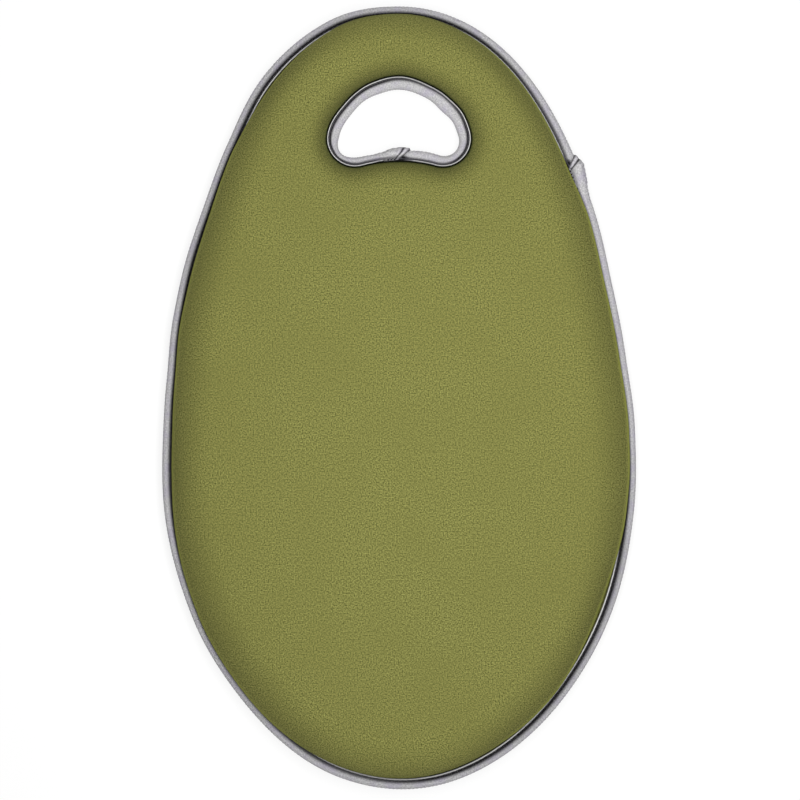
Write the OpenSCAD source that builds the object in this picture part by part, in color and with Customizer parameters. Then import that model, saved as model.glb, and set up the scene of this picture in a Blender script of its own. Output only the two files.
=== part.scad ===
// Oval kneeling pad with a hand hole: two neoprene panels sewn round a pack of foam,
// with both raw seams folded into a bound edge.
// The pad lies flat, +Z up and +Y towards the hand hole. Millimetres.

/* [Pad] */
// Overall length along Y, binding to binding
pad_l = 490; // [460:1:560]
// Overall width along X, binding to binding
pad_w = 296; // [280:1:340]
// Thickness from the floor to the top of the pad
pad_t = 36; // [33:0.5:45]
// How much narrower the handle end is than the knee end
taper = 0.15; // [0:0.01:0.18]
// How quickly the taper fades towards the two ends
taper_fade = 0.75; // [0.5:0.05:1]
// Extra fullness of both ends, over a plain ellipse
end_fullness = 0.04; // [0:0.01:0.06]

/* [Covers] */
// Thickness of the neoprene panels
cover_t = 2.5; // [1.5:0.1:3]
// Thickness of each panel where the seam squeezes it
seam_t = 1.8; // [1:0.1:2]
// Height of the seams above the floor
seam_z = 16; // [14:0.5:17]
// How far in from the outer seam the top panel rounds over
top_round = 17.5; // [12:0.5:17.5]
// How far in from a seam the base panel rounds under
base_round = 14; // [10:0.5:17]
// Squareness of the rounded edges, where 2 is an ellipse
edge_power = 2.3; // [2:0.1:3]

/* [Foam] */
// Thickness of the soft foam layer under the top panel
memory_t = 12.5; // [8:0.5:15]
// Gap all round between the foam and the panels
foam_gap = 0.3; // [0.2:0.1:0.6]

/* [Bound seams] */
// Width of the seam allowance inside the binding
allowance = 6.2; // [5.8:0.1:8]
// Thickness of the binding tape
tape_t = 0.8; // [0.5:0.1:0.9]
// Gap between the tape's lips and the foot of the seam
lip_gap = 0.4; // [0.2:0.1:0.6]
// How far the outer seam droops below level, in degrees
edge_droop = 40; // [20:1:42]
// How far the hand hole's seam droops below level, in degrees
hole_droop = 15; // [0:1:30]
// Distance of the stitching from the lower lip of the tape
stitch_in = 0.5; // [0.4:0.1:1]
// Diameter of the sewing thread
thread_d = 0.6; // [0.4:0.1:0.8]

/* [Hand hole] */
// Width of the bar between the pad's end and the hand hole, seam to seam
bar_w = 35.4; // [35.2:0.2:45]
// Width of the hand hole, seam to seam
hole_w = 93.8; // [86:0.2:110]
// Depth of the hand hole on its centre line, seam to seam
hole_h = 55.8; // [50:0.2:60]
// Radius of the hand hole's two lower corners
corner_r = 18.3; // [15:0.1:20]
// How far those corners dip below the middle of the lower side
corner_dip = 3.8; // [2:0.1:6]

/* [Hidden] */

moss_green = "#85854a";
tape_grey = "#b4b4b6";
thread_charcoal = "#3c3a3e";
foam_cream = "#e8e0c4";
foam_black = "#3a3a3c";

round_steps = 5;
nose_steps = 4;
tangent_step = 0.5;

// The folded end of each tape laps over its start between these two stations.
// Stations run clockwise from the handle end, in degrees.
edge_lap = [51.5, 54.5];
hole_lap = [170, 185];
stations = [for (t = [0 : 5 : 355]) each t == 50 ? [t, edge_lap[0], edge_lap[1]] : [t]];

// ---- Outer seam: an ellipse that tapers towards the handle ----

nose_r = seam_t + tape_t;
edge_reach = allowance * cos(edge_droop) + nose_r;
seam_half_l = pad_l / 2 - edge_reach;
seam_half_w = pad_w / 2 - edge_reach;

function fullness(v) = 1 + end_fullness * v * v - taper * v * (1 - taper_fade * v * v);
widest = max([for (t = [0 : 180]) sin(t) * fullness(cos(t))]);
function edge_seam(t) =
  [seam_half_w / widest * sin(t) * fullness(cos(t)), seam_half_l * cos(t)];

// ---- Hand hole seam: an arch, two corner arcs and a lower side that bulges up ----

hole_top = seam_half_l - bar_w;
hole_foot = hole_top - hole_h;
corner_x = hole_w / 2 - corner_r;
corner_y = hole_foot - corner_dip + corner_r;

// Centre height of the circle through [0, top] that touches both corner arcs.
// inner is 1 if the corners lie inside that circle, and -1 if they lie outside.
function touching_centre(top, inner) =
  let (k = top - inner * corner_r)
  (k * k - corner_x * corner_x - corner_y * corner_y) / (2 * (k - corner_y));

arch_y = touching_centre(hole_top, 1);
arch_r = hole_top - arch_y;
foot_y = touching_centre(hole_foot, -1);
foot_r = hole_foot - foot_y;

arch_end = atan2(corner_x, corner_y - arch_y);
foot_start = atan2(corner_x, corner_y - foot_y);
corner_end = 180 + foot_start;

rad = PI / 180;
arch_len = arch_r * arch_end * rad;
corner_len = corner_r * (corner_end - arch_end) * rad;
foot_len = foot_r * foot_start * rad;
half_hole_len = arch_len + corner_len + foot_len;

function on_circle(y, r, a, x = 0) = [x + r * sin(a), y + r * cos(a)];

// Right half of the hole's seam, at a distance s along it from the top.
function half_hole(s) =
  s < arch_len ? on_circle(arch_y, arch_r, s / arch_r / rad)
  : s < arch_len + corner_len
    ? on_circle(corner_y, corner_r, arch_end + (s - arch_len) / corner_r / rad, corner_x)
    : on_circle(foot_y, foot_r, (half_hole_len - s) / foot_r / rad);

function hole_seam(t) =
  let (turn = (t + 360) % 360, right = turn <= 180)
  let (p = half_hole((right ? turn : 360 - turn) / 180 * half_hole_len))
  [right ? p.x : -p.x, p.y];

// ---- From a seam's own section to the pad ----

// Unit normal of a seam that runs clockwise, pointing away from its centre.
function away(before, after) =
  let (along = after - before)
  [-along.y, along.x] / norm(along);

function edge_normal(t) = away(edge_seam(t - tangent_step), edge_seam(t + tangent_step));
function hole_normal(t) = away(hole_seam(t - tangent_step), hole_seam(t + tangent_step));

// A section is a list of [u, z], where u is the distance past the seam's foot.
function at_edge(t, section) =
  let (p = edge_seam(t), n = edge_normal(t))
  [for (q = section) [p.x + n.x * q.x, p.y + n.y * q.x, q.y]];
function at_hole(t, section) =
  let (p = hole_seam(t), n = hole_normal(t))
  [for (q = section) [p.x - n.x * q.x, p.y - n.y * q.x, q.y]];

function reversed(list) = [for (k = [len(list) - 1 : -1 : 0]) list[k]];

// A closed ring of sections, each with its outside on the left.
module ring(sections) {
  n = len(sections);
  k = len(sections[0]);
  polyhedron(
    points = [for (section = sections) each section],
    faces = [
      for (i = [0 : n - 1], j = [0 : k - 1])
        let (i2 = (i + 1) % n, j2 = (j + 1) % k)
        let (a = i * k + j, b = i * k + j2, c = i2 * k + j2, d = i2 * k + j)
        each [[a, b, c], [a, c, d]]
    ],
    convexity = 8
  );
}

// A layer that runs from the outer seam in to the hand hole's seam.
module between_seams(edge_section, hole_section)
  ring([
    for (t = stations)
      concat(at_edge(t, edge_section), at_hole(t, reversed(hole_section)))
  ]);

// ---- Sections ----

// Point s out from the seam's foot along the allowance, and n above its middle plane.
function on_allowance(droop, s, n) =
  [s * cos(droop) + n * sin(droop), seam_z - s * sin(droop) + n * cos(droop)];

// Rounded edge, from a wall at u = -inset and z = foot to the flat at u = -run and z = flat.
function rounded(inset, run, foot, flat) = [
  for (k = [0 : round_steps])
    let (a = 90 * k / round_steps)
    [
      -inset - (run - inset) * (1 - pow(cos(a), 2 / edge_power)),
      foot + (flat - foot) * pow(sin(a), 2 / edge_power),
    ]
];

// Edge of one panel, from its outside, round the seam allowance, to its inside.
// side is 1 for the top panel and -1 for the base panel.
function panel_section(side, run, flat, droop) = concat(
  reversed(rounded(0, run, seam_z + side * seam_t / cos(droop), flat)),
  [on_allowance(droop, allowance, side * seam_t), on_allowance(droop, allowance, 0)],
  [on_allowance(droop, 0, 0)],
  rounded(cover_t, run, seam_z, flat - side * cover_t)
);

foam_inset = cover_t + foam_gap;
split_z = pad_t - cover_t - memory_t;

function foam_wall(run) = rounded(foam_inset, run, seam_z, pad_t - foam_inset);

// Point where the foam's wall crosses the joint between its two layers.
function split_point(run) =
  [lookup(split_z, [for (q = foam_wall(run)) [q.y, q.x]]), split_z];

// Edge of the soft layer, from its top down.
function memory_section(run) =
  concat(reversed([for (q = foam_wall(run)) if (q.y > split_z + 0.5) q]), [split_point(run)]);

// Edge of the firm layer, from its top down.
function eva_section(top_run, base_run) = concat(
  [split_point(top_run)],
  reversed([for (q = foam_wall(top_run)) if (q.y < split_z - 0.5) q]),
  [for (q = rounded(foam_inset, base_run, seam_z, foam_inset)) if (q.y < seam_z - 0.1) q]
);

// Distance of the tape's lip from the seam's foot. side is 1 above the seam and -1 below.
function lip(side, droop, t) = lip_gap + (side < 0 ? (seam_t + t) * tan(droop) : 0);

// Tape of thickness t, folded round the seam allowance.
function tape_section(droop, t) =
  let (top = lip(1, droop, t), under = lip(-1, droop, t))
  concat(
    [on_allowance(droop, top, seam_t), on_allowance(droop, top, seam_t + t)],
    [
      for (k = [0 : nose_steps])
        let (a = 90 - 180 * k / nose_steps)
        on_allowance(droop, allowance + (seam_t + t) * cos(a), (seam_t + t) * sin(a))
    ],
    [on_allowance(droop, under, -seam_t - t), on_allowance(droop, under, -seam_t)],
    [on_allowance(droop, allowance, -seam_t), on_allowance(droop, allowance, seam_t)]
  );

// The tape is double where its folded end laps over its start.
function tape_at(t, lap) = tape_t * (t >= lap[0] && t <= lap[1] ? 2 : 1);

// Thread on tape of thickness t. side is 1 for the upper thread and -1 for the lower one.
function thread_section(side, droop, t) =
  let (s = lip(-1, droop, 2 * tape_t) + stitch_in, face = side * (seam_t + t))
  [
    for (corner = [[-0.5, 0], [-0.5, 1], [0.5, 1], [0.5, 0]])
      on_allowance(droop, s + side * corner.x * thread_d, face + side * corner.y * thread_d)
  ];

// ---- Sub-parts ----

module top_cover() color(moss_green)
  between_seams(
    panel_section(1, top_round, pad_t, edge_droop),
    panel_section(1, top_round - 1, pad_t, hole_droop)
  );

module base_cover() color(moss_green)
  between_seams(
    reversed(panel_section(-1, base_round, 0, edge_droop)),
    reversed(panel_section(-1, base_round, 0, hole_droop))
  );

module memory_foam() color(foam_cream)
  between_seams(memory_section(top_round), memory_section(top_round - 1));

module eva_foam() color(foam_black)
  between_seams(eva_section(top_round, base_round), eva_section(top_round - 1, base_round));

module edge_binding() color(tape_grey)
  ring([for (t = stations) at_edge(t, tape_section(edge_droop, tape_at(t, edge_lap)))]);

module handle_binding() color(tape_grey)
  ring([for (t = stations) at_hole(t, reversed(tape_section(hole_droop, tape_at(t, hole_lap))))]);

module edge_thread(side) color(thread_charcoal)
  ring([for (t = stations) at_edge(t, thread_section(side, edge_droop, tape_at(t, edge_lap)))]);

module handle_thread(side) color(thread_charcoal)
  ring([
    for (t = stations)
      at_hole(t, reversed(thread_section(side, hole_droop, tape_at(t, hole_lap))))
  ]);

top_cover();
base_cover();
memory_foam();
eva_foam();
edge_binding();
handle_binding();
edge_thread(1);  // edge_top_thread
edge_thread(-1);  // edge_base_thread
handle_thread(1);  // handle_top_thread
handle_thread(-1);  // handle_base_thread
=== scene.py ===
"""Oval kneeling pad with a hand hole: simulated neoprene covers, bound and stitched seams."""

import math
from collections import namedtuple

import bpy
import numpy as np
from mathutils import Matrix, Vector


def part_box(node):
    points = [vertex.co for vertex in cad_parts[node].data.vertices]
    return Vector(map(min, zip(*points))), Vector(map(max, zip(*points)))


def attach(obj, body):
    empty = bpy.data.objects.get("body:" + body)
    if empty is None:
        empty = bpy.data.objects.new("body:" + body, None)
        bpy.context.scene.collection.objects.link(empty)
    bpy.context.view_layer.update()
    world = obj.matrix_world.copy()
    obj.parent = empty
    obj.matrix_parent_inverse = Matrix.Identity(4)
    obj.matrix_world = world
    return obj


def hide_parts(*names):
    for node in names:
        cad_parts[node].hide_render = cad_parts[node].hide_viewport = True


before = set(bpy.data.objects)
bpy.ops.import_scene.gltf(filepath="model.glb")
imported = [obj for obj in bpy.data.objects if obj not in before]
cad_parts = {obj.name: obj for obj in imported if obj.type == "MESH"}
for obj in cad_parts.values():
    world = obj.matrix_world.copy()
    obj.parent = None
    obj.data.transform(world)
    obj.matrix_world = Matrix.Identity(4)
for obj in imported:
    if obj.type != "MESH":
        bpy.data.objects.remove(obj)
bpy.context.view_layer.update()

MM = 0.001
TURN = 2 * math.pi

# ---- Sizes, in metres: from the CAD frame where it gives them, else the design's own ----

EDGE_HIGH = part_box("edge_binding")[1]
TOP_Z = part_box("top_cover")[1].z
SEAM_Z = 16 * MM

# The outer seam's foot: an ellipse that tapers towards the handle.
HALF_W = EDGE_HIGH.x - 8.0 * MM
HALF_L = EDGE_HIGH.y - 8.0 * MM
TAPER = 0.15
TAPER_FADE = 0.75
END_FULLNESS = 0.04

# The hand hole's seam: an arch, two corner arcs and a lower side that bulges up.
BAR_W = 34.6 * MM
HOLE_W = 92.6 * MM
HOLE_H = 55.4 * MM
CORNER_R = 18.7 * MM
CORNER_DIP = 3.8 * MM

# The panels, their squeezed seam allowances, and how far their edges take to round over. The top
# panel starts lower than its final height, which leaves it room to swell.
COVER_T = 2.5 * MM
FLANGE_T = 0.65 * MM
FLANGE_SHARE = 0.24
FLANGE_FROM = 1.2 * MM
FLANGE_SHORT = 0.8 * MM
TOP_ROUND = 24 * MM
HOLE_ROUND = 20 * MM
BASE_ROUND = 14 * MM
SWELL_ROOM = 0.8 * MM

# The bound seams: their allowances, droop, tape and thread.
EDGE_ALLOWANCE = 5.7 * MM
HOLE_ALLOWANCE = 5.9 * MM
EDGE_DROOP = math.radians(22)
HOLE_DROOP = math.radians(12)
ROLL_FROM = 2.5 * MM
NOSE_R = 2.8 * MM
TAPE_T = 0.8 * MM
STITCH_IN = 2.15 * MM
STITCH_PITCH = 3.1 * MM
THREAD_R = 0.33 * MM

# Hand sewing is uneven. How far each seam strays out of the padding, and how far the top panel
# swells out over it and hides the tape, in mm, against degrees clockwise from the handle end.
EDGE_STRAY = [(0, -0.2), (45, -0.3), (62, -1.7), (80, -1.4), (98, 0.2), (117, 1.2), (136, 2.0),
              (153, 1.5), (172, 1.4), (188, 0.4), (207, -1.6), (222, -0.3), (243, 1.1),
              (262, 0.1), (274, 0.3), (290, 2.0), (301, 2.1), (318, 0.5), (327, 0.8),
              (338, 2.8), (350, 1.9)]
EDGE_SWELL = [(0, 3.6), (12, 2.2), (35, 2.1), (47, 4.4), (105, 5.2), (118, 4.2), (136, 0.3),
              (153, 2.6), (166, 0.9), (187, 2.0), (207, 5.1), (228, 5.0), (250, 2.9),
              (285, 3.9), (305, 3.2), (325, 4.0), (338, 0.8)]
HOLE_STRAY = [(0, 0.6), (40, 2.0), (62, 1.6), (85, 0.3), (180, 0.0), (262, 0.2), (290, 1.8),
              (325, 1.3)]
HOLE_SWELL = [(0, 0.2), (180, 0.0)]

# How much wider than usual each binding's roll is, in mm. The outer one is even.
EDGE_WIDER = [(0, 0.0)]
HOLE_WIDER = [(0, 0.6), (40, 0.2), (68, 1.3), (90, 0.4), (125, -1.2), (150, -0.4), (172, -1.0),
              (202, -2.6), (222, -1.8), (238, -2.8), (262, 0.0), (300, -0.4), (335, 0.5)]

# How dark and wide the painted shade in the stitched groove of each binding is, against 1 for
# usual.
EDGE_DARK = [(0, 1.0), (30, 0.8), (42, 0.3), (62, 0.3), (90, 0.6), (112, 1.0), (130, 1.25),
             (160, 1.2), (185, 0.8), (215, 0.8), (285, 0.9), (310, 1.2), (335, 1.1)]
HOLE_DARK = [(0, 0.85), (35, 0.6), (60, 0.5), (85, 0.9), (110, 1.2), (140, 0.7), (200, 0.6),
             (235, 0.9), (270, 1.2), (320, 1.1)]

# Shade is painted into the knit's colour: 1 for painted shade, 0 for plain and -1 for a painted
# highlight. A panel's first rows get painted shade from its outer allowance inwards, and a painted
# highlight on a rim along the long sides, with faint painted shade further in. Its last four get
# painted shade out to the end of the hole's allowance, and the painted shade fades back into the
# panel from the first of those four.
PAINTED_SEAM_SHADE = [1, 1, 1, 0.6, 0.15, 0, 0, 0, 0, 0, 0]
PAINTED_RIM_SHADE = [1, 0.7, 0.3, -0.2, -1, 0.2, 0.18, 0.15, 0.11, 0.07, 0.03]
LEFT_PAINTED_RIM = 0.8
PAINTED_HOLE_SEAM_SHADE = [0.6, 1, 1, 1]
PAINTED_HOLE_FADE = [0.3, 0.22, 0.17, 0.12, 0.07, 0.03]

# How finely lines, panels and tapes are divided.
LINE_POINTS = 2880
SWEEP_POINTS = 2000
STATIONS = 360
WALL_ROWS = 10
FLAT_ROWS = 28
STEPS_PER_STITCH = 6


def smooth(low, high, x):
    """0 at low, 1 at high, and a smooth step between them, whichever of them is larger."""
    f = np.clip((x - low) / (high - low), 0, 1)
    return f * f * (3 - 2 * f)


def eased(knots, degrees):
    """A smooth curve through (degrees, value) knots all the way round."""
    places = np.array([k[0] for k in knots] + [knots[0][0] + 360], float)
    values = np.array([k[1] for k in knots] + [knots[0][1]], float)
    degrees = np.mod(degrees, 360)
    i = np.clip(np.searchsorted(places, degrees, side="right") - 1, 0, len(knots) - 1)
    f = smooth(0, 1, (degrees - places[i]) / (places[i + 1] - places[i]))
    return values[i] + (values[i + 1] - values[i]) * f


# ---- Seam lines ----

def edge_line(count):
    """The outer seam's foot, clockwise from the handle end."""
    turn = np.linspace(0, TURN, count, endpoint=False)
    v = np.cos(turn)
    x = np.sin(turn) * (1 + END_FULLNESS * v * v - TAPER * v * (1 - TAPER_FADE * v * v))
    return np.stack([HALF_W * x / x.max(), HALF_L * v], axis=1)


def hole_line(count):
    """The hand hole's seam foot, clockwise from its top and evenly spaced."""
    top = HALF_L - BAR_W
    foot = top - HOLE_H
    corner_x = HOLE_W / 2 - CORNER_R
    corner_y = foot - CORNER_DIP + CORNER_R

    def touching_centre(k):
        return (k * k - corner_x ** 2 - corner_y ** 2) / (2 * (k - corner_y))

    arch_y = touching_centre(top - CORNER_R)
    foot_y = touching_centre(foot + CORNER_R)
    arch_r, foot_r = top - arch_y, foot - foot_y
    arch_end = math.atan2(corner_x, corner_y - arch_y)
    foot_start = math.atan2(corner_x, corner_y - foot_y)
    corner_turn = math.pi + foot_start - arch_end
    ends = np.cumsum([arch_r * arch_end, CORNER_R * corner_turn, foot_r * foot_start])

    def half(s):
        if s < ends[0]:
            a = s / arch_r
            return arch_r * math.sin(a), arch_y + arch_r * math.cos(a)
        if s < ends[1]:
            a = arch_end + (s - ends[0]) / CORNER_R
            return corner_x + CORNER_R * math.sin(a), corner_y + CORNER_R * math.cos(a)
        a = (ends[2] - s) / foot_r
        return foot_r * math.sin(a), foot_y + foot_r * math.cos(a)

    right = [half(2 * ends[2] * k / count) for k in range(count // 2 + 1)]
    left = [(-x, y) for x, y in reversed(right[1:-1])]
    return np.array(right + left)


Foot = namedtuple("Foot", "x y out_x out_y swell wider dark")


class Seam:
    """Where a closed seam's foot runs, which way is out of the padding, and how it swells."""

    def __init__(self, points, out, allowance, droop, stray, swell, wider, dark):
        self.allowance = allowance
        self.droop = droop
        centre = (points.max(0) + points.min(0)) / 2
        degrees = np.degrees(np.arctan2(*(points - centre).T))
        points = points + self.normals(points, out) * eased(stray, degrees)[:, None] * MM
        ahead = np.roll(points, -1, axis=0)
        table = np.column_stack([points, self.normals(points, out), eased(swell, degrees) * MM,
                                 eased(wider, degrees) * MM, eased(dark, degrees)])
        self.table = np.vstack([table, table[:1]])
        self.place = np.append(0, np.cumsum(np.hypot(*(ahead - points).T)))
        self.length = self.place[-1]

    @staticmethod
    def normals(points, out):
        """Level directions out of the padding, at each point of a closed line."""
        along = np.roll(points, -1, axis=0) - np.roll(points, 1, axis=0)
        along /= np.hypot(*along.T)[:, None]
        return np.stack([-along[:, 1] * out, along[:, 0] * out], axis=-1)

    def at(self, place):
        """The seam's foot at each place, in metres clockwise from the handle end."""
        place = np.mod(place, self.length)
        return Foot(*[np.interp(place, self.place, column) for column in self.table.T])

    def placed(self, place, u, z):
        """Points u out from the foot and at height z, at each place."""
        foot = self.at(place)
        x = foot.x + foot.out_x * u
        y = foot.y + foot.out_y * u
        return np.stack(np.broadcast_arrays(x, y, z), axis=-1)

    def on_allowance(self, place, s, n):
        """Points s out along the seam allowance and n above its middle, at each place."""
        s = s + self.at(place).wider * smooth(ROLL_FROM, self.allowance, s)
        u = s * math.cos(self.droop) + n * math.sin(self.droop)
        z = SEAM_Z - s * math.sin(self.droop) + n * math.cos(self.droop)
        return self.placed(place, u, z)


edge = Seam(edge_line(LINE_POINTS), 1, EDGE_ALLOWANCE, EDGE_DROOP,
            EDGE_STRAY, EDGE_SWELL, EDGE_WIDER, EDGE_DARK)
hole = Seam(hole_line(LINE_POINTS), -1, HOLE_ALLOWANCE, HOLE_DROOP,
            HOLE_STRAY, HOLE_SWELL, HOLE_WIDER, HOLE_DARK)


def spokes(count):
    """Matching places on both seams, along lines out of the middle of the hand hole."""
    edge_weight, hole_weight = 0.65, 0.35
    line = hole.table[:, :2]
    middle = (line.max(0) + line.min(0)) / 2
    turns = np.linspace(0, TURN, SWEEP_POINTS)

    def places(seam):
        x, y = (seam.table[:, :2] - middle).T
        return np.interp(turns, np.unwrap(np.arctan2(x, y)), seam.place)

    on_edge, on_hole = places(edge), places(hole)
    spread = edge_weight * on_edge / edge.length + hole_weight * on_hole / hole.length
    even = np.linspace(0, 1, count, endpoint=False)
    return np.interp(even, spread, on_edge), np.interp(even, spread, on_hole)


def room(seam, other):
    """How far each of a seam's spokes starts from the other seam."""
    foot = seam.at(seam.spokes)
    x_gap = foot.x[:, None] - other.table[:, 0]
    y_gap = foot.y[:, None] - other.table[:, 1]
    return np.hypot(x_gap, y_gap).min(axis=1)


edge.spokes, hole.spokes = spokes(STATIONS)
edge.room, hole.room = room(edge, hole), room(hole, edge)


# ---- Mesh tools ----

def skin(name, rows, ring_rows=False, ring_columns=True, cloth=None):
    """A mesh over a grid of points, shaped (rows, columns, 3).

    cloth holds each point's flat cloth coordinates in x and y, in metres, and in z its painted
    shade.
    """
    r, c = rows.shape[:2]
    i, j = np.meshgrid(np.arange(r if ring_rows else r - 1),
                       np.arange(c if ring_columns else c - 1), indexing="ij")
    i2, j2 = (i + 1) % r, (j + 1) % c
    faces = np.stack([i * c + j, i * c + j2, i2 * c + j2, i2 * c + j], axis=-1).reshape(-1, 4)
    mesh = bpy.data.meshes.new(name)
    mesh.from_pydata(rows.reshape(-1, 3).tolist(), [], faces.tolist())
    if cloth is not None:
        layer = mesh.attributes.new("cloth", "FLOAT_VECTOR", "POINT")
        layer.data.foreach_set("vector", cloth.astype(np.float32).ravel())
    mesh.shade_smooth()
    obj = bpy.data.objects.new(name, mesh)
    bpy.context.scene.collection.objects.link(obj)
    return obj


def apply_modifiers(obj):
    """Bakes every modifier into the mesh."""
    depsgraph = bpy.context.evaluated_depsgraph_get()
    mesh = bpy.data.meshes.new_from_object(obj.evaluated_get(depsgraph))
    mesh.name = obj.name
    obj.modifiers.clear()
    obj.data = mesh


# ---- Covers ----

def wall(seam, side, run, flat_z, share):
    """Rows from a seam's foot to the flat, over the rounded edge.

    side is 1 for the top panel and -1 for the base panel. share is how much of the seam's swell
    the panel gets.
    """
    # Where the two seams are close, the edge rounds over within its own side of the gap.
    run = (run ** -4 + (0.45 * seam.room) ** -4) ** -0.25
    a = np.linspace(0, math.pi / 2, WALL_ROWS + 1)[:, None]
    rise = np.sin(a)
    foot_z = SEAM_Z + side * FLANGE_T / math.cos(seam.droop)
    u = -run * (1 - np.cos(a))
    # The swell is a hump low on the wall, and 5.4 makes the hump 1 high.
    u = u + share * seam.at(seam.spokes).swell * 5.4 * rise ** 0.75 * (1 - rise) ** 2.25
    z = foot_z + (flat_z - foot_z) * rise
    return seam.placed(seam.spokes, u, z)


def panel_rows(side, run, hole_run, flat_z, share):
    """Rows of one panel, from the outer seam in to the hand hole's seam."""
    outer = wall(edge, side, run, flat_z, share)
    inner = wall(hole, side, hole_run, flat_z, share)[::-1]
    f = np.linspace(0, 1, FLAT_ROWS + 2)[1:-1, None, None]
    flat = outer[-1] * (1 - f) + inner[0] * f
    return np.concatenate([outer, flat, inner])


def puff(rows, still, pressure, frames=14, most=2.6 * MM):
    """Swells a closed grid of rows with cloth pressure, holding some rows still.

    most caps how far any point moves.
    """
    obj = skin("puffing", rows[::-1], ring_rows=True)
    pins = obj.vertex_groups.new(name="firm")
    columns = rows.shape[1]
    for row in still:
        start = (len(rows) - 1 - row) * columns
        pins.add(list(range(start, start + columns)), 1, "REPLACE")
    cloth = obj.modifiers.new("cloth", "CLOTH")
    cloth.settings.quality = 5
    cloth.settings.mass = 0.25
    cloth.settings.tension_stiffness = 20
    cloth.settings.compression_stiffness = 20
    cloth.settings.shear_stiffness = 8
    cloth.settings.bending_stiffness = 4
    cloth.settings.use_pressure = True
    cloth.settings.uniform_pressure_force = pressure
    cloth.settings.vertex_group_mass = "firm"
    cloth.settings.effector_weights.gravity = 0
    cloth.collision_settings.use_collision = False
    cloth.point_cache.frame_start = 1
    cloth.point_cache.frame_end = frames
    for f in range(1, frames + 1):
        bpy.context.scene.frame_set(f)
    moved = np.empty(rows.size, np.float32)
    evaluated = obj.evaluated_get(bpy.context.evaluated_depsgraph_get())
    evaluated.data.vertices.foreach_get("co", moved)
    bpy.context.scene.frame_set(1)
    bpy.data.objects.remove(obj)
    shift = moved.reshape(rows.shape)[::-1].astype(float) - rows
    size = np.linalg.norm(shift, axis=-1, keepdims=True)
    return rows + shift * most * np.tanh(size / most) / np.maximum(size, 1e-9)


def unrolled(rows):
    """Flat cloth coordinates of a panel's rows: its own plan, with both edges unrolled outwards."""
    cloth = rows * [1, 1, 0]
    step = np.linalg.norm(np.diff(rows, axis=0), axis=-1)
    first, last = WALL_ROWS + 2, len(rows) - WALL_ROWS - 3
    for turn, seam in ((range(first - 1, -1, -1), edge), (range(last + 1, len(rows)), hole)):
        foot = seam.at(seam.spokes)
        out = np.stack([foot.out_x, foot.out_y, 0 * foot.out_x], axis=-1)
        for k in turn:
            back = k + 1 if seam is edge else k - 1
            cloth[k] = cloth[back] + out * step[min(k, back)][:, None]
    # Where the outer seam faces sideways the rows get the painted rim highlight and its painted
    # shade, and less so on the left.
    out_x = edge.at(edge.spokes).out_x
    sideways = smooth(0.35, 0.75, np.abs(out_x))
    plain, painted_rim = np.array(PAINTED_SEAM_SHADE)[:, None], np.array(PAINTED_RIM_SHADE)[:, None]
    cloth[:len(plain), :, 2] = plain + (painted_rim - plain) * sideways * np.where(out_x > 0, 1, LEFT_PAINTED_RIM)
    # The painted shade round the hole is darker at the hole's left end, where the seam faces right.
    inner, fade = len(PAINTED_HOLE_SEAM_SHADE), len(PAINTED_HOLE_FADE)
    cloth[-inner:, :, 2] = np.array(PAINTED_HOLE_SEAM_SHADE)[:, None]
    uneven = 1 + 0.5 * hole.at(hole.spokes).out_x
    cloth[-inner - 1:-inner - 1 - fade:-1, :, 2] = np.array(PAINTED_HOLE_FADE)[:, None] * uneven
    return cloth


def cover(name, rows, side):
    """One neoprene panel with its seam allowances, as a solid shell."""
    def flange(seam, s):
        return seam.on_allowance(seam.spokes, s, side * FLANGE_T)[None]

    rows = np.concatenate([flange(edge, edge.allowance - FLANGE_SHORT), flange(edge, FLANGE_FROM),
                           rows,
                           flange(hole, FLANGE_FROM), flange(hole, hole.allowance - FLANGE_SHORT)])
    obj = skin(name, rows[::-side], cloth=unrolled(rows)[::-side])
    # Only the rows between the two seams' feet have the panel's full thickness.
    full = obj.vertex_groups.new(name="full")
    columns = rows.shape[1]
    full.add(list(range(3 * columns, (len(rows) - 3) * columns)), 1, "REPLACE")
    subdivision = obj.modifiers.new("subdivision", "SUBSURF")
    subdivision.levels = subdivision.render_levels = 1
    shell = obj.modifiers.new("shell", "SOLIDIFY")
    shell.thickness = COVER_T
    shell.offset = -1
    shell.vertex_group = "full"
    shell.thickness_vertex_group = FLANGE_SHARE
    apply_modifiers(obj)
    return obj


top = panel_rows(1, TOP_ROUND, HOLE_ROUND, TOP_Z - SWELL_ROOM, 1)
base = panel_rows(-1, BASE_ROUND, BASE_ROUND, 0, 0)
body = np.concatenate([top, base[::-1]])
half = len(top)
# The seams and the base panel's flat stay where they are.
seams = [0, half - 1, half, 2 * half - 1]
flat = [2 * half - 1 - k for k in range(WALL_ROWS - 2, half - WALL_ROWS + 2)]
body = puff(body, seams + flat, pressure=0.5)
body[half:, :, 2] = np.maximum(body[half:, :, 2], 0)
top, base = body[:half], body[half:][::-1]

top_cover = cover("top_panel", top, 1)
base_cover = cover("base_panel", base, -1)


# ---- Foam ----

def inset(rows, depth):
    """Rows moved in under their own surface."""
    along = np.roll(rows, -1, axis=1) - np.roll(rows, 1, axis=1)
    normal = np.cross(np.gradient(rows, axis=0), along)
    return rows - depth * normal / np.linalg.norm(normal, axis=-1, keepdims=True)


def ring(seam, u, z):
    """One level row at a distance out from a seam's foot."""
    return seam.placed(seam.spokes, u, z)[None]


def levelled(row, z):
    """The same row, at one height."""
    return np.concatenate([row[..., :2], np.full(row.shape[:-1] + (1,), z)], axis=-1)[None]


FOAM_IN = COVER_T + 0.5 * MM
FOAM_SPLIT = 21 * MM
FOAM_GAP = 0.3 * MM
SEAM_CLEAR = 5 * MM

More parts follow.
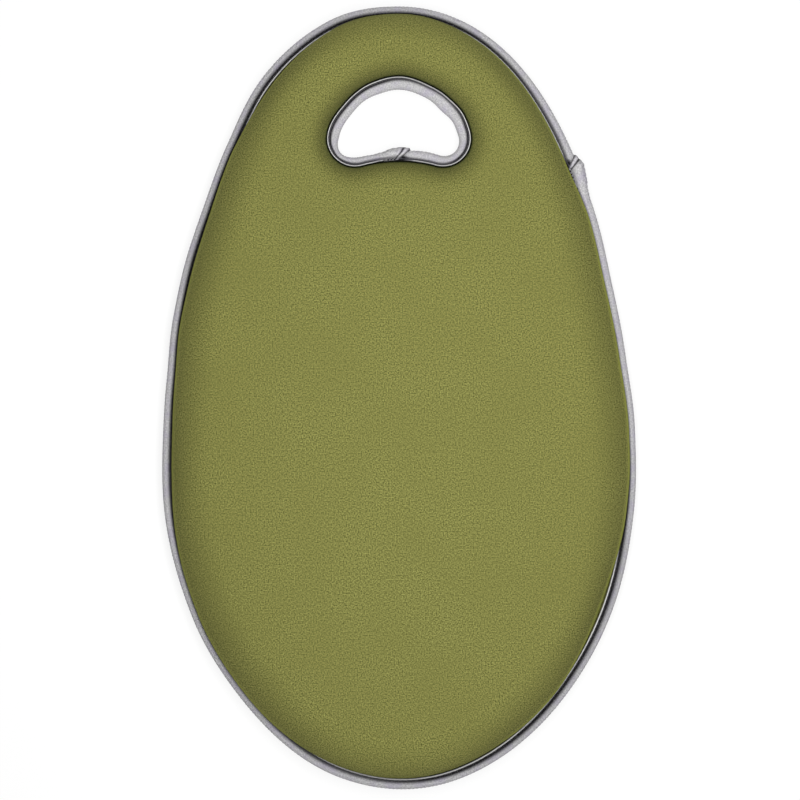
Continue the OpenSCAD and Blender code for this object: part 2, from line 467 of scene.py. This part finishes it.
under_top = inset(top, FOAM_IN)[3:-3]
under_base = inset(base, -FOAM_IN)[2:-2]
soft_rows = np.concatenate([levelled(under_top[0], FOAM_SPLIT), under_top,
                            levelled(under_top[-1], FOAM_SPLIT)])
firm_rows = np.concatenate([levelled(under_top[0], FOAM_SPLIT - FOAM_GAP),
                            ring(edge, -SEAM_CLEAR, SEAM_Z),
                            under_base,
                            ring(hole, -SEAM_CLEAR, SEAM_Z),
                            levelled(under_top[-1], FOAM_SPLIT - FOAM_GAP)])
memory_foam = skin("soft_foam_layer", soft_rows[::-1], ring_rows=True)
eva_foam = skin("firm_foam_layer", firm_rows, ring_rows=True)


# ---- Bindings ----

# Where each tape starts, as a share of the way clockwise from the handle end.
EDGE_LAP = 0.1311
HOLE_LAP = 0.538

# The tape's outer and inner faces, from its lip to where its nose starts: distance out along the
# seam allowance and height above its middle, in mm.
TAPE_FACE = [(0.95, 0.85), (0.8, 1.6), (0.84, 2.3), (1.02, 2.6), (1.24, 2.4), (1.34, 1.8),
             (1.7, 1.2), (2.2, 1.0), (2.6, 1.25), (2.9, 1.75), (3.3, 2.25), (3.95, 2.62),
             (4.8, 2.78)]
TAPE_BACK = [(1.2, 0.8), (1.6, 0.72), (2.2, 0.7), (3.5, 1.35), (4.8, 1.95)]
NOSE_FROM = math.radians(80)
NOSE_STEPS = 7
BACK_STEPS = 3

# How the tape's face goes up and down at its stitches, its lap, its hem and its puckers.
NEEDLE_PULL = 0.3 * MM
GROOVE_WIDE = 0.75 * MM
LAP_AIR = 0.1 * MM
HEM_HIGH = 0.5 * MM
CREASE_AT = 2.9 * MM
CREASE_WIDE = 0.55 * MM
CREASE_DEEP = 0.3 * MM
TUCK_DEEP = 1.3 * MM
DENT_DEEP = 0.4 * MM
PUCKER_HIGH = 0.08 * MM

# Distances out from the foot: where the tape's lip ends, where the painted shade of the groove
# beside it starts, and the least that the painted shade reaches.
LIP_END = 1.25 * MM
GROOVE_FROM = 1.45 * MM
GROOVE_LEAST = 2.4 * MM


def hump(x, middle, width):
    """A soft hump, 1 high at its middle."""
    return np.exp(-(((x - middle) / width) ** 2))


def stitch_pitch(seam):
    """The stitch length that fits round a seam a whole number of times."""
    return seam.length / round(seam.length / STITCH_PITCH)


def folded(face, seam, radius, steps):
    """A profile that runs out along a face, round a nose and back along the face below."""
    a = np.linspace(NOSE_FROM, 0, steps + 1)
    nose = np.stack([seam.allowance + radius * np.cos(a), radius * np.sin(a)], axis=-1)
    upper = np.concatenate([np.array(face) * MM, nose])
    lower = upper[-2::-1] * [1, -1]
    # The seam's droop tips the lower lip inwards, so the lip starts further out.
    lower[:, 0] += 1.6 * MM * math.tan(seam.droop) * (1 - smooth(2.2 * MM, 5 * MM, lower[:, 0]))
    return np.concatenate([upper, lower])


def tape_profile(seam):
    """Closed outline of the folded tape, as (s, n) points."""
    outer = folded(TAPE_FACE, seam, NOSE_R, NOSE_STEPS)
    inner = folded(TAPE_BACK, seam, NOSE_R - TAPE_T, BACK_STEPS)
    return np.concatenate([outer, inner[::-1]])


def binding(name, seam, lap_at, lap, shear, bump, shade_to):
    """Tape folded round a seam. It runs anticlockwise from under its own lap to on top of it.

    lap_at is where it starts and lap how far its ends overlap. shear is how far its hem slants,
    bump how far its top layer swells, in mm, against the distance left to its end, and shade_to
    how far out the painted shade reaches where the seam's own painted darkness is 1.
    """
    pitch = stitch_pitch(seam)
    end = seam.length + lap
    stations = int(round(end / pitch * STEPS_PER_STITCH)) + 1
    d = np.linspace(0, end, stations)[:, None]
    profile = tape_profile(seam)
    s, n = profile[:, 0][None, :], profile[:, 1][None, :]

    # Away from the allowance's middle: up or down on the faces, and outwards round the nose.
    nose = smooth(seam.allowance - 1.5 * MM, seam.allowance + 0.5 * MM, s)
    reach = np.hypot(s - seam.allowance, n)
    away_s = nose * (s - seam.allowance) / np.maximum(reach, 1e-6)
    away_n = np.sign(n) * (1 - nose) + nose * n / np.maximum(reach, 1e-6)

    # Stitches pull the groove in.
    at_needle = hump(np.mod(d / pitch + 0.5, 1), 0.5, 0.2)
    pull = -NEEDLE_PULL * hump(s, STITCH_IN, GROOVE_WIDE) * at_needle

    # The top layer rides over the first one, swells, and ends in a slanting folded hem.
    width = seam.allowance + NOSE_R
    slant = shear * (s / width - 0.5)
    left = end - d
    lift = (TAPE_T + LAP_AIR) * smooth(lap + 7 * MM, lap + 1 * MM, left)
    swell = np.interp(left / MM, *np.transpose(bump)) * MM * smooth(2.5 * MM, 6 * MM, s)
    hem = HEM_HIGH * smooth(2.6 * MM, 1.9 * MM, left) * smooth(0.0, 0.6 * MM, left)
    hem = hem * smooth(width, 0.75 * width, s)
    crease = hump(left, CREASE_AT, CREASE_WIDE)
    tuck = -TUCK_DEEP * smooth(0.5 * MM, 0.0, left)

    # The first layer dips where it comes out from under the hem, most of all near its lip.
    past = d - lap - slant
    gap_end = 2 * MM + 11 * MM * smooth(4.5 * MM, 2 * MM, s)
    gap = smooth(-3 * MM, -1 * MM, past) * smooth(gap_end, 0.3 * MM, past)
    dent = -DENT_DEEP * gap * smooth(width, 5 * MM, s) * smooth(2 * MM, 4 * MM, s)

    # Fine puckers where the tape is eased round the curve.
    pucker = PUCKER_HIGH * np.sin(TURN * (d / (2.3 * MM) + s / (6 * MM)))
    pucker = pucker * smooth(1.5 * MM, 3.5 * MM, s) * (1 + 0.5 * np.sin(d / (17 * MM)))

    offset = pull + lift + swell + hem - CREASE_DEEP * crease + tuck + dent + pucker
    place = lap_at - (d + slant * smooth(12 * MM, 0, left))
    points = seam.on_allowance(place, s + away_s * offset, n + away_n * offset)

    # Painted shade where the tape lies deep: the groove, the lines beside the hem, the tucked lip
    # and the gap.
    dark = seam.at(place).dark
    shade_end = GROOVE_LEAST + (shade_to - GROOVE_LEAST) * dark
    shade = smooth(LIP_END, GROOVE_FROM, s) * smooth(shade_end, 2.5 * MM, s) * np.minimum(dark, 1)
    front = hump(left, 0.1 * MM, 0.35 * MM)
    tucked = smooth(18 * MM, 8 * MM, left) * smooth(3 * MM, 1.8 * MM, s)
    tucked = tucked * (0.6 + 0.4 * np.sin(d / (0.5 * MM)))
    for part in (crease, front, tucked, gap * smooth(0.8 * width, 2.5 * MM, s)):
        shade = np.maximum(shade, part)

    # A painted highlight on the top of the lip where nothing tucks it in, and on the top of the hem.
    lip = smooth(1.7 * MM, 2.3 * MM, np.abs(n)) * smooth(GROOVE_FROM, LIP_END, s)
    lip = lip * np.minimum(dark, 1)
    shade = np.where(np.maximum(gap, tucked) > 0.2, shade, shade - lip)
    shade = shade - 0.25 * smooth(2.2 * MM, 1.7 * MM, left) * smooth(0.5 * MM, 0.9 * MM, left)
    across = np.append(0, np.cumsum(np.hypot(*np.diff(profile, axis=0).T)))
    cloth = np.stack(np.broadcast_arrays(d, across[None, :], shade), axis=-1)
    return skin(name, points.transpose(1, 0, 2), ring_rows=True, ring_columns=False,
                cloth=cloth.transpose(1, 0, 2))


edge_start = EDGE_LAP * edge.length
hole_start = HOLE_LAP * hole.length
edge_tape = binding("edge_tape", edge, edge_start, lap=12 * MM, shear=7.5 * MM,
                    bump=[(-2, 0), (0, 0.1), (5.5, 3.0), (12, 1.4), (25, 0)], shade_to=5.3 * MM)
hole_tape = binding("hand_hole_tape", hole, hole_start, lap=12 * MM, shear=8 * MM,
                    bump=[(-2, 0), (3, 1.3), (8.5, 1.4), (12.5, 0)], shade_to=4.0 * MM)


# ---- Stitching ----

def stitching(name, seam, lap_at, side):
    """One thread of a lockstitch, dipping into the tape at every needle hole."""
    pitch = stitch_pitch(seam)
    steps, sides = 8, 8
    count = int(round(seam.length / pitch)) * steps
    d = np.linspace(0, seam.length, count, endpoint=False)
    # Each stitch rises from 0.6 mm above the allowance's middle in its needle holes to 1.25 mm.
    rise = np.abs(np.sin(math.pi * d / pitch)) ** 0.6
    height = (0.6 + 0.65 * rise) * MM
    a = np.linspace(0, TURN, sides, endpoint=False)[:, None]
    s = STITCH_IN + THREAD_R * np.cos(a) + 0 * d
    n = side * (height[None, :] + THREAD_R * np.sin(a))
    points = seam.on_allowance(lap_at - d[None, :] + 0 * a, s, n)
    cloth = np.stack(np.broadcast_arrays(d[None, :], THREAD_R * a, 0), axis=-1)
    return skin(name, points, ring_rows=True, cloth=cloth)


threads = {
    "edge_top_thread": stitching("edge_needle_stitches", edge, edge_start, 1),
    "edge_base_thread": stitching("edge_bobbin_stitches", edge, edge_start, -1),
    "handle_top_thread": stitching("hand_hole_needle_stitches", hole, hole_start, 1),
    "handle_base_thread": stitching("hand_hole_bobbin_stitches", hole, hole_start, -1),
}


# ---- Materials ----

class Shader:
    """A new material with a Principled shader, and short ways to add nodes to it."""

    def __init__(self, name, **sockets):
        self.material = bpy.data.materials.new(name)
        self.material.use_nodes = True
        self.tree = self.material.node_tree
        self.shader = self.tree.nodes["Principled BSDF"]
        for socket, value in sockets.items():
            self.shader.inputs[socket.replace("_", " ")].default_value = value

    def add(self, kind, inputs=(), **settings):
        node = self.tree.nodes.new(kind)
        for key, value in settings.items():
            setattr(node, key, value)
        for socket, value in dict(inputs).items():
            if isinstance(value, bpy.types.NodeSocket):
                self.tree.links.new(value, node.inputs[socket])
            else:
                node.inputs[socket].default_value = value
        return node

    def math(self, operation, a, b=0.0):
        return self.add("ShaderNodeMath", {0: a, 1: b}, operation=operation).outputs[0]

    def cloth(self):
        """The two flat cloth coordinates and the shade."""
        vector = self.add("ShaderNodeAttribute", attribute_name="cloth").outputs["Vector"]
        parts = self.add("ShaderNodeSeparateXYZ", {0: vector}).outputs
        return parts["X"], parts["Y"], parts["Z"]

    def point(self, x, y):
        return self.add("ShaderNodeCombineXYZ", {0: x, 1: y}).outputs[0]

    def noise(self, vector, size, detail=2.0, roughness=0.5):
        inputs = {"Vector": vector, "Scale": 1 / size, "Detail": detail, "Roughness": roughness}
        return self.add("ShaderNodeTexNoise", inputs).outputs["Fac"]

    def mix(self, factor, a, b):
        """Mixes two colours. The node's colour sockets have no names of their own."""
        node = self.add("ShaderNodeMix", {0: factor, 6: a, 7: b}, data_type="RGBA")
        return node.outputs[2]

    def spread(self, value, low, high):
        """Stretches low..high to 0..1."""
        inputs = {"Value": value, "From Min": low, "From Max": high}
        return self.add("ShaderNodeMapRange", inputs).outputs[0]

    def bump(self, height, depth, strength=1.0):
        inputs = {"Height": height, "Distance": depth, "Strength": strength}
        bump = self.add("ShaderNodeBump", inputs).outputs[0]
        self.tree.links.new(bump, self.shader.inputs["Normal"])

    def colour(self, value):
        self.tree.links.new(value, self.shader.inputs["Base Color"])

    def rough(self, value):
        self.tree.links.new(value, self.shader.inputs["Roughness"])


def srgb(r, g, b):
    """A colour given as 0..255 display values."""
    def linear(c):
        c /= 255
        return c / 12.92 if c <= 0.04045 else ((c + 0.055) / 1.055) ** 2.4

    return linear(r), linear(g), linear(b), 1.0


def knit_material(name, colour, dark, light, painted_rim, painted_shade_colour):
    """Jersey-faced neoprene: fine rows of loops, mottled by its yarn; painted shade and highlight."""
    wale_wide, course_high = 1.05 * MM, 0.85 * MM
    m = Shader(name, Roughness=0.9, Sheen_Weight=0.15, Sheen_Roughness=0.2,
               Sheen_Tint=(0.6, 0.7, 0.15, 1), Specular_IOR_Level=0.12)
    x, y, shade = m.cloth()
    flat = m.point(x, y)
    across = m.math("FRACT", m.math("DIVIDE", x, wale_wide))
    side = m.math("MULTIPLY", m.math("ABSOLUTE", m.math("SUBTRACT", across, 0.5)), 2.0)
    slant = m.math("MULTIPLY", side, 0.55)
    course = m.math("ADD", m.math("DIVIDE", y, course_high), slant)
    loops = m.math("SINE", m.math("MULTIPLY", course, TURN))
    wale = m.math("SUBTRACT", 1.0, m.math("POWER", side, 3.0))
    knit = m.math("MULTIPLY", m.math("ADD", loops, 1.0), wale)
    yarn = m.noise(flat, 0.85 * MM, 3, 0.7)
    patch = m.noise(flat, 45 * MM, 2)
    body = m.mix(m.spread(yarn, 0.36, 0.64), dark, light)
    body = m.mix(m.math("MULTIPLY", m.spread(patch, 0.35, 0.65), 0.3), body, colour)
    # The cloth's shade paints a highlight on the rim, then shade in the seams and on the sides.
    body = m.mix(m.spread(shade, -0.2, -0.9), body, painted_rim)
    m.colour(m.mix(m.spread(shade, 0.0, 1.0), body, painted_shade_colour))
    m.bump(m.math("ADD", knit, m.math("MULTIPLY", yarn, 3.0)), 0.06 * MM, 1.0)
    return m.material


def tape_material(name, dark, light, tint, painted_highlight, painted_shade_colour):
    """Soft twill tape: fine slanting ribs, a cool cast here and there, painted shade where deep."""
    m = Shader(name, Roughness=0.75, Sheen_Weight=0.05, Sheen_Roughness=0.4, Specular_IOR_Level=0.2)
    rib_pitch, weft_pitch = 0.8 * MM, 0.45 * MM
    x, y, shade = m.cloth()
    flat = m.point(x, y)
    slant = m.math("ADD", x, m.math("MULTIPLY", y, 0.9))
    rib = m.math("SINE", m.math("MULTIPLY", slant, TURN / rib_pitch))
    weft = m.math("SINE", m.math("MULTIPLY", y, TURN / weft_pitch))
    weave = m.math("ADD", rib, m.math("MULTIPLY", weft, 0.4))
    yarn = m.noise(flat, 0.9 * MM, 3, 0.7)
    patch = m.noise(flat, 9 * MM, 2)
    body = m.mix(m.spread(yarn, 0.34, 0.66), dark, light)
    body = m.mix(m.math("MULTIPLY", m.spread(patch, 0.45, 0.7), 0.5), body, tint)
    # A painted highlight on the lip and hem, then painted shade, speckled, where the tape lies deep.
    body = m.mix(m.math("MULTIPLY", m.spread(shade, 0.0, -1.0), 0.85), body, painted_highlight)
    shade_speckle = m.spread(m.noise(flat, 0.7 * MM, 2, 0.6), 0.0, 0.42)
    depth = m.math("MULTIPLY", m.spread(shade, 0.0, 0.9), shade_speckle)
    m.colour(m.mix(depth, body, painted_shade_colour))
    m.bump(m.math("ADD", weave, m.math("MULTIPLY", yarn, 4.0)), 0.09 * MM, 0.8)
    return m.material


def thread_material(name, dark, light):
    """Two-ply sewing thread with a slight shine."""
    m = Shader(name, Roughness=0.5, Sheen_Weight=0.1, Specular_IOR_Level=0.4)
    ply_pitch = 0.7 * MM
    along, across, _ = m.cloth()
    slant = m.math("ADD", along, m.math("MULTIPLY", across, 0.6))
    ply = m.math("SINE", m.math("MULTIPLY", slant, TURN / ply_pitch))
    m.colour(m.mix(m.spread(ply, -1.0, 1.0), dark, light))
    m.bump(ply, 0.06 * MM, 0.8)
    return m.material


def foam_material(name, cell, dark, light):
    """Cut foam: small open cells."""
    m = Shader(name, Roughness=0.95, Specular_IOR_Level=0.2)
    place = m.add("ShaderNodeTexCoord").outputs["Object"]
    inputs = {"Vector": place, "Scale": 1 / cell}
    cells = m.add("ShaderNodeTexVoronoi", inputs).outputs["Distance"]
    m.colour(m.mix(m.spread(cells, 0.1, 0.6), dark, light))
    m.bump(cells, 0.5 * cell, 0.6)
    return m.material


knit = knit_material("moss_knit", colour=srgb(106, 106, 54), dark=srgb(61, 63, 25),
                     light=srgb(144, 144, 80), painted_rim=srgb(137, 140, 63), painted_shade_colour=srgb(22, 24, 11))
tape = tape_material("grey_tape", dark=srgb(142, 141, 144), light=srgb(201, 200, 201),
                     tint=srgb(158, 150, 174), painted_highlight=srgb(226, 225, 224), painted_shade_colour=srgb(8, 7, 11))
thread = thread_material("charcoal_thread", srgb(34, 32, 36), srgb(70, 68, 74))
soft_foam = foam_material("cream_foam", 0.7 * MM, srgb(190, 180, 150), srgb(236, 228, 202))
firm_foam = foam_material("black_foam", 0.4 * MM, srgb(30, 30, 32), srgb(62, 62, 64))

PIECES = [
    (top_cover, "top_cover", "cover", knit),
    (base_cover, "base_cover", "cover", knit),
    (edge_tape, "edge_binding", "binding", tape),
    (hole_tape, "handle_binding", "binding", tape),
    (memory_foam, "memory_foam", "soft_foam", soft_foam),
    (eva_foam, "eva_foam", "firm_foam", firm_foam),
] + [(obj, node, "thread", thread) for node, obj in threads.items()]

for obj, node, slot, material in PIECES:
    obj.data.materials.clear()
    obj.data.materials.append(material)
    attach(obj, "root")
    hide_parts(node)


# ---- Floor, light and camera ----

def floor():
    """A plain white table that glows a little, as a lit packshot table does."""
    size = 3.0
    below = 0.2 * MM
    rows = np.array([[[-size, -size, 0], [size, -size, 0]], [[-size, size, 0], [size, size, 0]]])
    obj = skin("floor", rows - [0, 0, below], ring_columns=False)
    white = Shader("white_table", Roughness=1.0, Specular_IOR_Level=0.0,
                   Base_Color=(0.14, 0.14, 0.14, 1), Emission_Color=(1, 1, 1, 1),
                   Emission_Strength=0.85)
    obj.data.materials.append(white.material)


def soft_box(name, place, width, length, power):
    """A soft box that faces straight down."""
    light = bpy.data.lights.new(name, "AREA")
    light.shape = "RECTANGLE"
    light.size, light.size_y = width, length
    light.energy = power
    obj = bpy.data.objects.new(name, light)
    obj.location = place
    obj.visible_camera = False
    bpy.context.scene.collection.objects.link(obj)


def camera():
    """Straight above, far away, with the pad filling the frame from end to end."""
    height = 2.6
    sensor = 36
    frame_width = 501.3 * MM
    middle_x, middle_y = 0.6 * MM, -1.9 * MM
    lens = bpy.data.cameras.new("camera")
    lens.sensor_width = sensor
    lens.lens = sensor * (height - SEAM_Z) / frame_width
    lens.clip_end = 20
    obj = bpy.data.objects.new("camera", lens)
    obj.location = (middle_x, middle_y, height)
    bpy.context.scene.collection.objects.link(obj)
    bpy.context.scene.camera = obj


floor()
soft_box("key", place=(0.045, 0.04, 0.7), width=0.3, length=1.0, power=9.4)

world = bpy.data.worlds.new("studio")
world.use_nodes = True
world.node_tree.nodes["Background"].inputs["Color"].default_value = (1, 1, 1, 1)
world.node_tree.nodes["Background"].inputs["Strength"].default_value = 0.06
bpy.context.scene.world = world
bpy.context.scene.view_settings.view_transform = "Standard"
camera()
